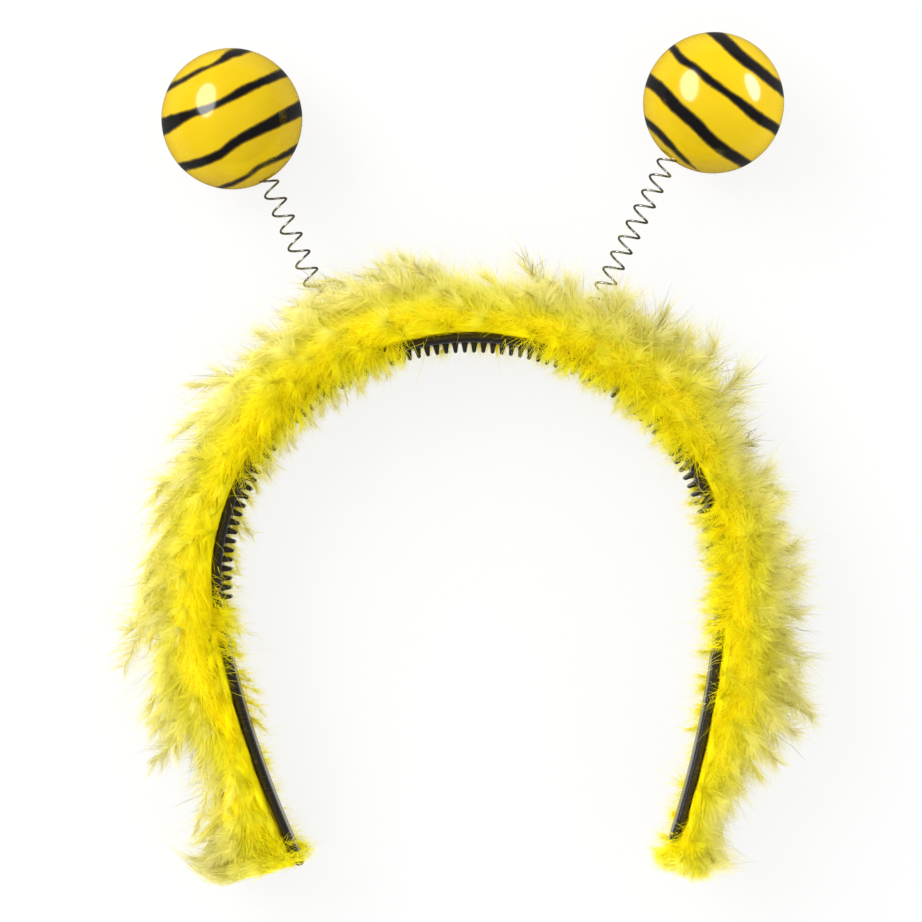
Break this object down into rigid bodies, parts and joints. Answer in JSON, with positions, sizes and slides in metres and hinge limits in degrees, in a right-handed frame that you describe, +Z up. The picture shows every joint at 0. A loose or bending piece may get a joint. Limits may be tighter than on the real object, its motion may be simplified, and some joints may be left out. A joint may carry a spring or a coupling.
{
  "type": "antenna headband",
  "caption": "Curved comb head band with a fluffy down boa along its outer face and striped balls that bob on bare coil springs",
  "frame": {"origin": "On the table, under the middle of the whole part's box", "axes": "It lies flat: +X across the band, +Y from the band's tips towards its crown and the balls, +Z up from the table, across the band's width"},
  "size_m": [0.1874, 0.2374, 0.0406],
  "materials": {
    "band": "black moulded plastic, semi-gloss",
    "down": "yellow down, paler and duller at its tips",
    "spring": "bright drawn spring wire",
    "ball": "yellow gloss lacquer with brushed black stripes"
  },
  "bodies": {
    "headband": {"band": "band", "boa": "down"},
    "left_spring": {"spring_left": "spring"},
    "left_ball": {"ball_left": "ball"},
    "right_spring": {"spring_right": "spring"},
    "right_ball": {"ball_right": "ball"}
  },
  "joints": [
    {"name": "left_nod", "type": "hinge", "parent": "headband", "child": "left_spring", "pos_m": [-0.03279, 0.04527, 0.019], "axis": [-0.9373, -0.3486, 0], "range_deg": [-25, 25], "stiffness_Nm_per_rad": 0.02, "deforming": ["spring_left"]},
    {"name": "left_sway", "type": "hinge", "parent": "left_spring", "child": "left_ball", "pos_m": [-0.04063, 0.06636, 0.019], "axis": [0, 0, 1], "range_deg": [-25, 25], "stiffness_Nm_per_rad": 0.02, "deforming": ["spring_left"]},
    {"name": "right_nod", "type": "hinge", "parent": "headband", "child": "right_spring", "pos_m": [0.03931, 0.04318, 0.019], "axis": [0.8634, -0.5045, 0], "range_deg": [-25, 25], "stiffness_Nm_per_rad": 0.02, "deforming": ["spring_right"]},
    {"name": "right_sway", "type": "hinge", "parent": "right_spring", "child": "right_ball", "pos_m": [0.05066, 0.06261, 0.019], "axis": [0, 0, 1], "range_deg": [-25, 25], "stiffness_Nm_per_rad": 0.02, "deforming": ["spring_right"]}
  ]
}
